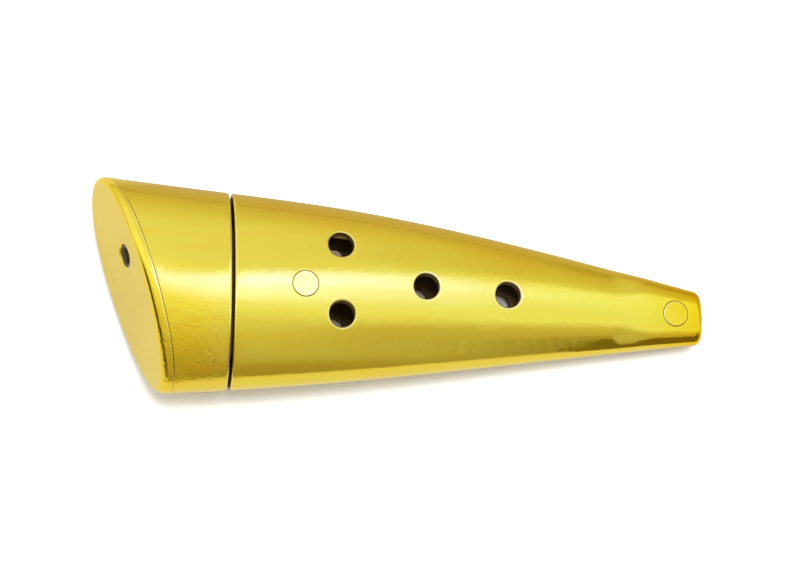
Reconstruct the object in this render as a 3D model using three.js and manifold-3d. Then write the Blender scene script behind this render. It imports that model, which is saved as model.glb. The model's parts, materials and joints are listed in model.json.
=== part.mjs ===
// A bait-holding fishing lure body with a pull-apart head, lying on its flank.
// Lengths are in millimetres. In the lure's own frame X runs from the joint to the tail,
// Y points to the back of the fish shape and Z to the upper flank; the joint plane is X = 0.
// The outer group tips the lure to the slope at which its curved flank rests on a table.
import * as THREE from 'three';
import { mergeVertices } from 'three/addons/utils/BufferGeometryUtils.js';
import Module from 'manifold-3d';

// ---- Driving dimensions ----
const rearLength = 60; // joint plane to tail end
const headLength = 12.44; // joint plane to the slanted face, on the axis
const faceLeanBack = -0.303; // X run of the face for each millimetre towards the back
const faceLeanFlank = 0.285; // X run of the face for each millimetre towards the upper flank
const outlineLead = 4.56; // how far the outlines run ahead of the face on the axis
const noseBack = 14.21; // height of the back outline at its front end
const noseBelly = -13.49; // height of the belly outline at its front end
const tailBack = 1.31; // height of the back outline at the tail end
const tailBelly = -5.3; // height of the belly outline at the tail end
const thicknessRatio = 0.55; // half thickness over half height of every oval section
const noseThinning = 0.065; // how much the ratio falls towards the nose
const noseEgg = 0.15; // share by which the nose is thicker at the back edge and thinner at the belly edge
const thinningStart = -2; // the nose thins from here
const thinningEnd = -14; // to here
const tailFullness = 2.7; // exponent of the tail's oval, whose flanks are flatter than an ellipse's 2
const flatFlankStart = 48; // the flanks flatten from here
const flatFlankEnd = 53.5; // to here
const balanceStation = 10; // station of the centre of gravity, over which the lure rests

const shellWall = 1.5; // wall of the head and of the bait chamber
const tailWall = 0.65; // wall beside the tail insert
const wallTaperStart = 42; // the wall thins from here
const wallTaperEnd = 52; // to here
const endWall = 1.2; // wall across the tail end
const tailEdgeRadius = 0.9;
const seamGap = 0.34; // visible gap between head and rear body
const seamEdgeRadius = 0.3;
const assemblyGap = 0.3; // gap between pieces that are glued together
const pinFit = 0.15; // radial gap round pins, eyelet, tube and tail spout

const rimRadius = 0.95; // rounded rim of the face cap
const capEdge = 1.15; // depth of the cap that shows outside the head shell
const capLip = 2.0; // length of the cap's lip inside the head shell

const eyeletRadius = 1.35;
const eyeletBore = 1.0;
const eyeletLength = 3.6;
const noseHoleBack = 3.8; // place of the leader hole on the face
const noseHoleFlank = 1.95;
const leaderSlopeBack = -0.1; // run of the leader bore for each millimetre along X
const leaderSlopeFlank = -0.112;
const tubeRadius = 1.3;
const tubeBore = 0.9;
const tubeSeatDepth = 1.5; // counterbore for the tube in the bulkhead
const spigotBore = 0.85;

const bulkheadFront = -4.4; // stations of the bulkhead plate inside the head
const bulkheadRear = -0.6;
const collarFront = 0.6;
const collarLength = 10.8;
const collarWall = 0.9; // least wall of the collar, at its narrow end
const slidingGap = 0.3; // clearance between spigot and socket
const spigotLength = 10; // from the joint plane
const spigotLead = 0.8; // chamfer at the spigot's free end
const sealCord = 0.9; // thickness of the rubber seal ring
const sealGap = 0.15; // gap between the seal ring and what it touches
const sealStation = 4.2;
const grooveLength = 1.4;

const scentHoleRadius = 1.6;
const scentHoles = [[13.4, 5.2], [13.45, -3.6], [24.05, 0.26], [34.45, -0.36]];
const pinRadius = 1.6;
const collarPin = [8.88, -0.02];
const tailPin = [56.35, -1.73];
const collarPinSeat = 0.6; // how deep the pin enters the collar
const tailPinSeat = 0.3;

const insertFront = 45; // front end of the tail insert
const tailBore = 0.65;
const spoutRadius = 1.0;
const spoutRecess = 0.15; // the spout ends this far inside the tail end
const spoutRoot = 0.4; // length of the spout inside the insert
const insertGap = 0.2;

const sides = 40; // facets round an oval section
const roundSides = 20; // facets round pins, holes and tubes
const outlineHandles = { back: [0.391, 0.583], belly: [0.392, 0.41] };
const outlineSlopes = { back: [-0.1115, -0.2477], belly: [0.0437, 0.1196] };

// ---- Colours and finishes ----
const finish = (color, roughness, metalness) =>
  new THREE.MeshStandardMaterial({ color, roughness, metalness });
const goldPlating = [0xd9b92c, 0.12, 0.95];
const paleGold = [0xe0cc6a, 0.18, 0.95];
const darkPlastic = [0x1d1a12, 0.45, 0];
const smokePlastic = [0x4a4c34, 0.3, 0];
const blackRubber = [0x141414, 0.7, 0];

// ---- The outline and its oval sections ----
const outlineFront = -headLength - outlineLead;
const outlineLength = rearLength - outlineFront;

function outline(front, rear, slopes, handles) {
  const first = handles[0] * outlineLength;
  const last = handles[1] * outlineLength;
  return new THREE.CubicBezierCurve(
    new THREE.Vector2(outlineFront, front),
    new THREE.Vector2(outlineFront + first, front + slopes[0] * first),
    new THREE.Vector2(rearLength - last, rear - slopes[1] * last),
    new THREE.Vector2(rearLength, rear),
  );
}
const backOutline = outline(noseBack, tailBack, outlineSlopes.back, outlineHandles.back);
const bellyOutline = outline(noseBelly, tailBelly, outlineSlopes.belly, outlineHandles.belly);

function outlineHeight(curve, station) {
  let low = 0;
  let high = 1;
  for (let step = 0; step < 40; step++) {
    const middle = (low + high) / 2;
    if (curve.getPoint(middle).x < station) low = middle;
    else high = middle;
  }
  return curve.getPoint(low).y;
}

function section(station) {
  const back = outlineHeight(backOutline, station);
  const belly = outlineHeight(bellyOutline, station);
  const halfHeight = (back - belly) / 2;
  const flattening = THREE.MathUtils.smoothstep(station, flatFlankStart, flatFlankEnd);
  const thinning = THREE.MathUtils.smoothstep(-station, -thinningStart, -thinningEnd);
  return {
    centre: (back + belly) / 2,
    halfHeight,
    halfThickness: halfHeight * (thicknessRatio - noseThinning * thinning),
    egg: noseEgg * thinning,
    fullness: 2 + (tailFullness - 2) * flattening,
  };
}

function wallAt(station) {
  return shellWall + (tailWall - shellWall) * THREE.MathUtils.clamp(
    (station - wallTaperStart) / (wallTaperEnd - wallTaperStart), 0, 1);
}

// A ring of points inset from the body's surface. lean 0 is square to the axis, 1 is parallel to the face.
function bodyRing(station, inset = 0, lean = 0) {
  const ring = [];
  for (let side = 0; side < sides; side++) {
    const angle = (2 * Math.PI * side) / sides;
    const point = new THREE.Vector3(station, 0, 0);
    for (let pass = 0; pass < 12; pass++) {
      const oval = section(point.x);
      const power = Math.abs(Math.cos(angle)) ** oval.fullness + Math.abs(Math.sin(angle)) ** oval.fullness;
      const swell = power ** (-1 / oval.fullness);
      point.y = oval.centre + (oval.halfHeight - inset) * Math.cos(angle) * swell;
      point.z = (oval.halfThickness - inset) * Math.sin(angle) * swell * (1 + oval.egg * Math.cos(angle));
      point.x = station + lean * (faceLeanBack * point.y + faceLeanFlank * point.z);
    }
    ring.push(point);
  }
  return ring;
}

// A ring on a straight oval barrel, such as the spigot and its socket.
function ovalRing(station, oval, inset = 0) {
  const curve = new THREE.EllipseCurve(
    oval.centre, 0, oval.halfHeight - inset, oval.halfThickness - inset, 0, 2 * Math.PI);
  return curve.getPoints(sides).slice(0, sides).map((p) => new THREE.Vector3(station, p.x, p.y));
}

// Skins rings that follow each other along X: loop joins the last to the first, else both ends are closed.
function skin(rings, loop = false) {
  const positions = rings.flat().flatMap((p) => [p.x, p.y, p.z]);
  const index = [];
  const bands = loop ? rings.length : rings.length - 1;
  for (let band = 0; band < bands; band++) {
    const here = band * sides;
    const next = ((band + 1) % rings.length) * sides;
    for (let side = 0; side < sides; side++) {
      const after = (side + 1) % sides;
      index.push(here + side, here + after, next + after, here + side, next + after, next + side);
    }
  }
  if (!loop) {
    for (const [ring, first] of [[rings[0], true], [rings.at(-1), false]]) {
      const middle = ring.reduce((sum, p) => sum.add(p), new THREE.Vector3()).divideScalar(sides);
      const centre = positions.length / 3;
      positions.push(middle.x, middle.y, middle.z);
      const start = first ? 0 : (rings.length - 1) * sides;
      for (let side = 0; side < sides; side++) {
        const after = (side + 1) % sides;
        if (first) index.push(centre, start + after, start + side);
        else index.push(centre, start + side, start + after);
      }
    }
  }
  const geometry = new THREE.BufferGeometry();
  geometry.setAttribute('position', new THREE.Float32BufferAttribute(positions, 3));
  geometry.setIndex(index);
  return geometry;
}

function rod(radius, from, to) {
  const axis = new THREE.Vector3().subVectors(to, from);
  const geometry = new THREE.CylinderGeometry(radius, radius, axis.length(), roundSides);
  const turn = new THREE.Quaternion().setFromUnitVectors(new THREE.Vector3(0, 1, 0), axis.clone().normalize());
  geometry.applyQuaternion(turn);
  geometry.translate(...from.clone().add(to).divideScalar(2).toArray());
  return geometry;
}
const point = (x, y, z) => new THREE.Vector3(x, y, z);
const crossRod = (radius, [x, y], low, high) => rod(radius, point(x, y, low), point(x, y, high));

// ---- Joining and cutting closed meshes ----
const wasm = await Module();
wasm.setup();

function solid(geometry) {
  const bare = geometry.clone();
  bare.deleteAttribute('normal');
  bare.deleteAttribute('uv');
  const merged = mergeVertices(bare, 1e-5);
  return new wasm.Manifold(new wasm.Mesh({
    numProp: 3,
    vertProperties: new Float32Array(merged.attributes.position.array),
    triVerts: new Uint32Array(merged.index.array),
  }));
}
const cut = (body, ...tools) => tools.reduce((left, tool) => left.subtract(tool), body);

function geometryOf(body) {
  const mesh = body.getMesh();
  const geometry = new THREE.BufferGeometry();
  geometry.setAttribute('position', new THREE.Float32BufferAttribute(mesh.vertProperties, 3));
  geometry.setIndex([...mesh.triVerts]);
  geometry.computeVertexNormals();
  return geometry;
}

const lure = new THREE.Group();
function addPiece(name, body, look) {
  const mesh = new THREE.Mesh(geometryOf(body), finish(...look));
  mesh.name = name;
  lure.add(mesh);
}

// ---- Shared stations ----
const faceStretch = Math.hypot(1, faceLeanBack, faceLeanFlank); // X run for each millimetre of depth
const faceStation = (depth) => -headLength + depth * faceStretch;
const spaced = (first, last, count) =>
  Array.from({ length: count }, (_, i) => first + ((last - first) * i) / (count - 1));
const quarter = spaced(0, Math.PI / 2, 4);
const headRear = -seamGap / 2;
const rearFront = seamGap / 2;
const collarRear = collarFront + collarLength;

// The socket is as large as the narrow end of the collar allows, and the spigot runs in it.
const collarSection = section(collarRear);
const socketInset = wallAt(collarRear) + assemblyGap + collarWall;
const socket = {
  centre: collarSection.centre,
  halfHeight: collarSection.halfHeight - socketInset,
  halfThickness: collarSection.halfThickness - socketInset,
};

// The leader runs straight from the nose hole, through the head and the spigot.
const noseHole = point(
  -headLength + faceLeanBack * noseHoleBack + faceLeanFlank * noseHoleFlank, noseHoleBack, noseHoleFlank);
const leaderAt = (station) => point(
  station,
  noseHole.y + leaderSlopeBack * (station - noseHole.x),
  noseHole.z + leaderSlopeFlank * (station - noseHole.x),
);
const leaderRod = (radius, first, last) => solid(rod(radius, leaderAt(first), leaderAt(last)));

// ---- Head ----
const capRings = quarter.map((turn) => bodyRing(
  faceStation(rimRadius * (1 - Math.cos(turn))), rimRadius * (1 - Math.sin(turn)), 1));
capRings.push(bodyRing(faceStation(capEdge), 0, 1));
const headOutside = solid(skin([...capRings, bodyRing(headRear, 0, 0)]));

const lipInset = shellWall + assemblyGap;
const capBlank = solid(skin([
  ...capRings,
  bodyRing(faceStation(capEdge), lipInset, 1),
  bodyRing(faceStation(capEdge + capLip), lipInset, 1),
]));
const eyeletRear = noseHole.x + eyeletLength;
const beforeNose = noseHole.x - 3;
addPiece('face_cap', cut(capBlank, leaderRod(eyeletRadius + pinFit, beforeNose, eyeletRear + 3)), paleGold);
addPiece(
  'nose_eyelet',
  cut(leaderRod(eyeletRadius, beforeNose, eyeletRear), leaderRod(eyeletBore, beforeNose - 1, eyeletRear + 1))
    .intersect(headOutside),
  smokePlastic,
);

const shellDepth = capEdge + assemblyGap;
const leans = spaced(1, 0, 6);
const headStations = spaced(faceStation(shellDepth), headRear - seamEdgeRadius, leans.length);
const headShellBlank = solid(skin([
  ...leans.map((lean, i) => bodyRing(headStations[i], 0, lean)),
  bodyRing(headRear, seamEdgeRadius, 0),
]));
const headHollow = solid(skin([
  bodyRing(faceStation(0), shellWall, 1),
  ...leans.map((lean, i) => bodyRing(headStations[i], shellWall, lean)),
  bodyRing(headRear + 1, shellWall, 0),
]));
addPiece('head_shell', cut(headShellBlank, headHollow), goldPlating);

const tubeFront = eyeletRear + assemblyGap;
const tubeRear = bulkheadFront + tubeSeatDepth - assemblyGap;
addPiece(
  'leader_tube',
  cut(leaderRod(tubeRadius, tubeFront, tubeRear), leaderRod(tubeBore, tubeFront - 1, tubeRear + 1)),
  darkPlastic,
);

// ---- Coupling: bulkhead and spigot on the head, collar in the rear body ----
const grooveInset = slidingGap - sealGap + sealCord;
const grooveFront = sealStation - grooveLength / 2;
const grooveRear = sealStation + grooveLength / 2;
const spigot = solid(skin([
  ...spaced(bulkheadFront, bulkheadRear, 3).map((x) => bodyRing(x, wallAt(x) + assemblyGap, 0)),
  ovalRing(bulkheadRear, socket, slidingGap),
  ovalRing(grooveFront, socket, slidingGap),
  ovalRing(grooveFront, socket, slidingGap + grooveInset),
  ovalRing(grooveRear, socket, slidingGap + grooveInset),
  ovalRing(grooveRear, socket, slidingGap),
  ovalRing(spigotLength - spigotLead, socket, slidingGap),
  ovalRing(spigotLength, socket, slidingGap + spigotLead),
]));
addPiece(
  'coupling_spigot',
  cut(
    spigot,
    leaderRod(spigotBore, bulkheadFront - 1, spigotLength + 1),
    leaderRod(tubeRadius + pinFit, bulkheadFront - 1, bulkheadFront + tubeSeatDepth),
  ),
  darkPlastic,
);

const sealMiddle = sealGap + sealCord / 2;
const sealRings = spaced(0, 2 * Math.PI, 9).slice(0, 8).map((turn) => ovalRing(
  sealStation - (sealCord / 2) * Math.sin(turn), socket, sealMiddle + (sealCord / 2) * Math.cos(turn)));
addPiece('seal_ring', solid(skin(sealRings, true)), blackRubber);

const bothFlanks = (tool) => [tool(1), tool(-1)];
const far = 40; // beyond the body in any direction
const collarBlank = cut(
  solid(skin(spaced(collarFront, collarRear, 4).map((x) => bodyRing(x, wallAt(x) + assemblyGap, 0)))),
  solid(skin([ovalRing(collarFront - 1, socket), ovalRing(collarRear + 1, socket)])),
);

// ---- Rear body ----
const tailStations = [
  ...spaced(rearFront + seamEdgeRadius, flatFlankStart, 11),
  ...spaced(flatFlankStart, rearLength - tailEdgeRadius, 7).slice(1),
];
const rearOutside = solid(skin([
  bodyRing(rearFront, seamEdgeRadius),
  ...tailStations.map((x) => bodyRing(x)),
  ...quarter.slice(1).map((turn) => bodyRing(
    rearLength - tailEdgeRadius * (1 - Math.sin(turn)), tailEdgeRadius * (1 - Math.cos(turn)))),
]));
const hollowEnd = rearLength - endWall;
const hollowStations = [
  rearFront - 1, ...spaced(rearFront + 4, wallTaperStart, 7),
  ...spaced(flatFlankStart, hollowEnd, 5),
];
const rearHollow = solid(skin(hollowStations.map((x) => bodyRing(x, wallAt(x)))));
const tailCentre = section(hollowEnd).centre;
const tailRod = (radius, first, last) =>
  solid(rod(radius, point(first, tailCentre, 0), point(last, tailCentre, 0)));
const scentTools = scentHoles.map((place) => solid(crossRod(scentHoleRadius, place, -far, far)));
const pinHoles = [collarPin, tailPin].map((place) => solid(crossRod(pinRadius + pinFit, place, -far, far)));
addPiece(
  'rear_shell',
  cut(rearOutside, rearHollow, ...scentTools, ...pinHoles, tailRod(spoutRadius + pinFit, insertFront, rearLength + 1)),
  goldPlating,
);

// Height of the body's own surface, or of one inset from it, above the middle plane.
function flankHeight([x, y], inset) {
  const oval = section(x);
  const across = Math.abs(y - oval.centre) / (oval.halfHeight - inset);
  return (oval.halfThickness - inset) * (1 - across ** oval.fullness) ** (1 / oval.fullness);
}

const collarPinTip = flankHeight(collarPin, wallAt(collarPin[0]) + assemblyGap) - collarPinSeat;
const collarPockets = bothFlanks(
  (side) => solid(crossRod(pinRadius + pinFit, collarPin, side * (collarPinTip - assemblyGap), side * far)));
addPiece('mouth_collar', cut(collarBlank, ...collarPockets), darkPlastic);

const insertBlank = solid(skin(
  [insertFront, ...spaced(flatFlankStart, hollowEnd, 5).slice(0, 4), hollowEnd - insertGap]
    .map((x) => bodyRing(x, wallAt(x) + insertGap))));
const spoutStart = hollowEnd - insertGap - spoutRoot;
const spoutEnd = rearLength - spoutRecess;
const tailPinTip = flankHeight(tailPin, wallAt(tailPin[0]) + insertGap) - tailPinSeat;
const tailPockets = bothFlanks(
  (side) => solid(crossRod(pinRadius + pinFit, tailPin, side * (tailPinTip - insertGap), side * far)));
addPiece(
  'tail_insert',
  cut(
    cut(insertBlank, ...tailPockets).add(tailRod(spoutRadius, spoutStart, spoutEnd)),
    tailRod(tailBore, insertFront - 1, rearLength + 1),
  ),
  darkPlastic,
);

for (const [name, place, tip] of [['collar_pin', collarPin, collarPinTip], ['tail_pin', tailPin, tailPinTip]]) {
  for (const [flank, side] of [['upper', 1], ['lower', -1]]) {
    addPiece(`${name}_${flank}`, solid(crossRod(pinRadius, place, side * tip, side * far)).intersect(rearOutside),
      goldPlating);
  }
}

// ---- Resting pose: the flank is level under the centre of gravity, the lowest point at height 0 ----
const flankStep = 1;
const thinning = section(balanceStation - flankStep).halfThickness - section(balanceStation + flankStep).halfThickness;
lure.rotation.y = Math.atan(thinning / (2 * flankStep));
const part = new THREE.Group();
part.add(lure);
part.updateMatrixWorld(true);
const bounds = new THREE.Box3().setFromObject(part, true);
const middle = bounds.getCenter(new THREE.Vector3());
lure.position.set(-middle.x, -middle.y, -bounds.min.z);

export default part;
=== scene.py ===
import json

import bpy
import numpy as np
from bpy.props import FloatProperty, FloatVectorProperty, PointerProperty
from bpy.types import Operator, Panel, PropertyGroup
from mathutils import Matrix, Vector


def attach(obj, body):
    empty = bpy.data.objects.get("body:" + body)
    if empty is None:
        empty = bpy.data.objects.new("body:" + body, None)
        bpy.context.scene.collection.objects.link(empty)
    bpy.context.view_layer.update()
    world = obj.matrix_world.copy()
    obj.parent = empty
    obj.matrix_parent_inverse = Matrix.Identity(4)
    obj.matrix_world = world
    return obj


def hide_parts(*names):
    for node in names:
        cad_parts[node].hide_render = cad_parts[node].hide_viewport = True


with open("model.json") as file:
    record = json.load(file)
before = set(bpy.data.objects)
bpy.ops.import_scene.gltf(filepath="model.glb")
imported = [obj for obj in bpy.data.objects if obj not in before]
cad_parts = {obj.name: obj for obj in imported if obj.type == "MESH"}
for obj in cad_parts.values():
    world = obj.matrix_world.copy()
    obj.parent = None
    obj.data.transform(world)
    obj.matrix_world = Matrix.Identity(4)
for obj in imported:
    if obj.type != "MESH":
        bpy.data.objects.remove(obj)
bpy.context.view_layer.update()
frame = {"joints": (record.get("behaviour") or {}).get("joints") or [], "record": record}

bl_info = {
    "name": "Bait-holding lure body",
    "version": (1, 0, 0),
    "blender": (4, 5, 0),
    "location": "3D View > Sidebar > Lure",
    "description": "Makes the shells, coupling, pins and inserts of a pull-apart lure body, and its stage",
    "category": "Add Mesh",
}

# ---- Driving dimensions in metres, in the lure's own frame ----
# X runs from the joint plane to the tail, Y to the back of the fish shape, Z to the upper flank.
MM = 0.001
REAR_LENGTH = 60.0 * MM
HEAD_LENGTH = 12.44 * MM
FACE_LEAN = (-0.303, 0.285)
OUTLINE_LEAD = 4.56 * MM
NOSE_BACK, TAIL_BACK = 14.21 * MM, 1.31 * MM
NOSE_BELLY, TAIL_BELLY = -13.49 * MM, -5.3 * MM
BACK_SLOPES, BELLY_SLOPES = (-0.1115, -0.2477), (0.0437, 0.1196)
BACK_HANDLES, BELLY_HANDLES = (0.391, 0.583), (0.392, 0.41)
THICKNESS_RATIO = 0.55
NOSE_THINNING, NOSE_EGG = 0.065, 0.15
THINNING = (-2.0 * MM, -14.0 * MM)
TAIL_FULLNESS = 2.7
FLAT_FLANK = (48.0 * MM, 53.5 * MM)
SHELL_WALL, TAIL_WALL = 1.5 * MM, 0.65 * MM
WALL_TAPER = (42.0 * MM, 52.0 * MM)
END_WALL = 1.2 * MM
TAIL_EDGE_RADIUS = 0.9 * MM
CAP_LIP = 2.0 * MM
EYELET_RADIUS, EYELET_LENGTH = 1.35 * MM, 3.6 * MM
NOSE_HOLE = (3.8 * MM, 1.95 * MM)
LEADER_SLOPE = (-0.1, -0.112)
TUBE_RADIUS, TUBE_BORE = 1.3 * MM, 0.9 * MM
SPIGOT_BORE = 0.85 * MM
BULKHEAD = (-4.4 * MM, -0.6 * MM)
TUBE_SEAT = 1.5 * MM
COLLAR = (0.6 * MM, 11.4 * MM)
COLLAR_WALL = 0.9 * MM
ASSEMBLY_GAP = 0.3 * MM
SLIDING_GAP = 0.3 * MM
SPIGOT_LENGTH, SPIGOT_LEAD = 10.0 * MM, 0.8 * MM
SEAL_CORD, SEAL_GAP, SEAL_STATION = 0.9 * MM, 0.15 * MM, 4.2 * MM
GROOVE_LENGTH = 1.4 * MM
SCENT_HOLE_RADIUS = 1.6 * MM
SCENT_HOLES = (
    (13.4 * MM, 5.2 * MM), (13.45 * MM, -3.6 * MM), (24.05 * MM, 0.26 * MM), (34.45 * MM, -0.36 * MM))
PIN_RADIUS = 1.6 * MM
COLLAR_PIN, TAIL_PIN = (8.88 * MM, -0.02 * MM), (56.35 * MM, -1.73 * MM)
PIN_DEPTH = {"collar_pin": 2.2 * MM, "tail_pin": 1.05 * MM}
INSERT_FRONT, INSERT_GAP = 45.0 * MM, 0.2 * MM
TAIL_BORE, SPOUT_RADIUS, SPOUT_RECESS = 0.65 * MM, 1.0 * MM, 0.15 * MM
TAIL_MOUNT_BACK = -3.75 * MM

COLUMNS = 144  # points round every oval ring
STATIONS = 190  # rings along the rear shell
QUARTER = np.linspace(0, np.pi / 2, 7)
ANGLES = np.linspace(0, 2 * np.pi, COLUMNS, endpoint=False)
SETTLING_STEPS = 14  # rounds in which a leaning ring's station settles
BLOCK_MARGIN = 0.5 * MM  # width of the cells round a hole that are made anew
SUPPORT = 0.06 * MM  # width of the ring that holds a fillet's shading next to a broad surface

TAIL_TINT = (30.0 * MM, 37.5 * MM)  # where the plating turns warmer, along the resting lure
WORN_PATCH = (-26.0 * MM, -10.0 * MM, 11.5 * MM)  # middle of the handled place on the head, at rest
WORN_REACH = (8.5 * MM, 1.5 * MM)
WORN_DEPTH = 0.9
STREAK_DEPTH, STREAK_STRETCH = 0.12, 0.07
SCUFF_STRETCH, SCUFF_TURN = 0.12, (0.2, 0.1, 0.5)
SCUFF_PATCH_SCALE, CURL_SCALE, CURL_TWIST = 110.0, 620.0, 1.6
# Levels of the noise between which each kind of mark comes in
SCUFF_LINE_LEVELS, SCUFF_PATCH_LEVELS, CURL_LEVELS = (0.56, 0.68), (0.48, 0.66), (0.4, 0.7)
TONE_LEVELS = (0.3, 0.65)  # and the warmer lacquer
BLOTCH_SCALE = 160.0
PLASTIC_TONES, PLASTIC_UNEVEN = (0.7, 1.3), 0.08  # spread of bare plastic's colour and of its roughness
TAIL_LACQUER = 0.1  # share of the clear lacquer that is left at the tail
GLUE_LINE = 0.1 * MM  # visible gap round glued pieces
CAP_MARGIN = 0.2 * MM  # straight edge of the face cap behind its rounded rim
FINE_EDGE = 0.08 * MM  # rounding of edges that are almost sharp

# ---- The lure's frame in the row frame ----
AXIS_X = -np.array(frame["joints"][0]["axis"], float)
AXIS_Y = np.array([0.0, 1.0, 0.0])
AXIS_Z = np.cross(AXIS_X, AXIS_Y)
TURN = np.stack([AXIS_X, AXIS_Y, AXIS_Z], axis=1)
TAIL_FACE = next(m for m in frame["record"]["mounts"] if m["name"] == "tail_face")
ORIGIN = np.array(TAIL_FACE["pos_m"], float) - TURN @ np.array([REAR_LENGTH, TAIL_MOUNT_BACK, 0.0])


def to_row(points):
    """Turns points of the lure's frame by the resting slope and moves them to the row frame."""
    return np.asarray(points) @ TURN.T + ORIGIN


class LureSizes(PropertyGroup):
    seam_gap: FloatProperty(
        name="Joint seam", description="Visible gap between the head and the rear body",
        default=0.34 * MM, min=0.1 * MM, max=1.0 * MM, precision=5, unit="LENGTH")
    seam_edge: FloatProperty(
        name="Seam edge radius", description="Rounding of the shells' edges at the joint",
        default=0.28 * MM, min=0.05 * MM, max=0.6 * MM, precision=5, unit="LENGTH")
    rim_radius: FloatProperty(
        name="Rim radius", description="Rounding of the face cap's rim",
        default=0.95 * MM, min=0.3 * MM, max=2.0 * MM, precision=5, unit="LENGTH")
    parting_gap: FloatProperty(
        name="Parting line", description="Gap between the face cap and the head shell",
        default=0.035 * MM, min=0.02 * MM, max=0.3 * MM, precision=5, unit="LENGTH")
    hole_lip: FloatProperty(
        name="Hole lip", description="Rounding of the scent holes' edges",
        default=0.23 * MM, min=0.05 * MM, max=0.6 * MM, precision=5, unit="LENGTH")
    pin_groove: FloatProperty(
        name="Pin groove", description="Gap round the flush pins",
        default=0.03 * MM, min=0.02 * MM, max=0.15 * MM, precision=5, unit="LENGTH")
    pin_edge: FloatProperty(
        name="Pin edge radius", description="Rounding of the edges on both sides of the pin groove",
        default=0.1 * MM, min=0.02 * MM, max=0.3 * MM, precision=5, unit="LENGTH")


class LureColours(PropertyGroup):
    gold: FloatVectorProperty(
        name="Gold", description="Plating of the shells and pins", subtype="COLOR",
        size=3, min=0, max=1, default=(0.88, 0.70, 0.035))
    deep_gold: FloatVectorProperty(
        name="Deep gold", description="Plating where its lacquer lies thicker", subtype="COLOR",
        size=3, min=0, max=1, default=(0.90, 0.60, 0.008))
    pale_gold: FloatVectorProperty(
        name="Pale gold", description="Plating of the flat face", subtype="COLOR",
        size=3, min=0, max=1, default=(0.80, 0.61, 0.07))
    # Paler, brighter plating on narrow edges: a painted highlight along their roundings, together with worn
    # plating
    worn_edge_highlight: FloatVectorProperty(
        name="Edge wear and highlight", description="Plating worn bright at its narrow edges", subtype="COLOR",
        size=3, min=0, max=1, default=(0.93, 0.79, 0.17))
    moulded: FloatVectorProperty(
        name="Moulded plastic", description="Bare dark plastic inside the shells and of the coupling",
        subtype="COLOR", size=3, min=0, max=1, default=(0.16, 0.1, 0.034))
    smoke: FloatVectorProperty(
        name="Smoke plastic", description="Leader eyelet in the face", subtype="COLOR",
        size=3, min=0, max=1, default=(0.06, 0.05, 0.022))
    rubber: FloatVectorProperty(
        name="Rubber", description="Seal ring", subtype="COLOR",
        size=3, min=0, max=1, default=(0.012, 0.012, 0.012))
    floor: FloatVectorProperty(
        name="Floor", description="Pale floor under the lure", subtype="COLOR",
        size=3, min=0, max=1, default=(0.92, 0.915, 0.9))


# ---- The body's shape ----
def outline(front, rear, slopes, handles):
    """Control points of one cubic outline from ahead of the face to the tail end."""
    start = -HEAD_LENGTH - OUTLINE_LEAD
    length = REAR_LENGTH - start
    first, last = handles[0] * length, handles[1] * length
    return np.array([
        (start, front), (start + first, front + slopes[0] * first),
        (REAR_LENGTH - last, rear - slopes[1] * last), (REAR_LENGTH, rear)])


BACK = outline(NOSE_BACK, TAIL_BACK, BACK_SLOPES, BACK_HANDLES)
BELLY = outline(NOSE_BELLY, TAIL_BELLY, BELLY_SLOPES, BELLY_HANDLES)


def bezier(control, t):
    """The cubic curve of four control points, by its Bernstein sum."""
    t = np.asarray(t)[..., None]
    s = 1 - t
    return s**3 * control[0] + 3 * s * s * t * control[1] + 3 * s * t * t * control[2] + t**3 * control[3]


def outline_height(control, x):
    """Height of an outline over x: the parameter comes from a table and two Newton steps."""
    table = np.linspace(0, 1, 801)
    t = np.interp(x, bezier(control, table)[:, 0], table)
    legs = 3 * np.diff(control[:, 0])
    for _ in range(2):
        slope = (1 - t)**2 * legs[0] + 2 * t * (1 - t) * legs[1] + t * t * legs[2]
        t = np.clip(t - (bezier(control, t)[..., 0] - x) / slope, 0, 1)
    return bezier(control, t)[..., 1]


def smooth_step(x, first, last):
    """Share that rises from 0 at first to 1 at last without a kink."""
    share = np.clip((x - first) / (last - first), 0, 1)
    return share * share * (3 - 2 * share)


def section(x):
    """Centre height, half height, half thickness and exponent of the oval section at x."""
    back, belly = outline_height(BACK, x), outline_height(BELLY, x)
    half = (back - belly) / 2
    fullness = 2 + (TAIL_FULLNESS - 2) * smooth_step(x, *FLAT_FLANK)
    ratio = THICKNESS_RATIO - NOSE_THINNING * smooth_step(x, *THINNING)
    return (back + belly) / 2, half, half * ratio, fullness


def wall_at(x):
    """Shell wall, thinning in a straight line towards the tail."""
    share = np.clip((x - WALL_TAPER[0]) / (WALL_TAPER[1] - WALL_TAPER[0]), 0, 1)
    return SHELL_WALL + (TAIL_WALL - SHELL_WALL) * share


def glued_inset(x, gap=GLUE_LINE):
    """Inset of a piece that is glued inside the shell: the wall and a gap."""
    return float(wall_at(x)) + gap


def body_ring(station, inset=0.0, lean=0.0):
    """Points round the body, inset from its surface. A point at angle a is the half sizes times
    (cos a, sin a), scaled so that the sum of their powers is one. Towards the nose the oval turns egg-shaped,
    thicker at the back. Lean 1 puts the ring parallel to the face, 0 square."""
    x = np.full(COLUMNS, float(station))
    for _ in range(SETTLING_STEPS):
        centre, half, thick, n = section(x)
        swell = (np.abs(np.cos(ANGLES))**n + np.abs(np.sin(ANGLES))**n)**(-1 / n)
        y = centre + (half - inset) * np.cos(ANGLES) * swell
        egg = NOSE_EGG * smooth_step(x, *THINNING)
        z = (thick - inset) * np.sin(ANGLES) * swell * (1 + egg * np.cos(ANGLES))
        x = station + lean * (FACE_LEAN[0] * y + FACE_LEAN[1] * z)
    return np.stack([x, y, z], axis=-1)


def flank_height(x, y, inset=0.0):
    """Height of the flank, or of a surface inset from it, above the middle plane."""
    centre, half, thick, n = section(x)
    across = np.clip(np.abs(y - centre) / (half - inset), 0, 1)
    return (thick - inset) * (1 - across**n)**(1 / n)


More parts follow.
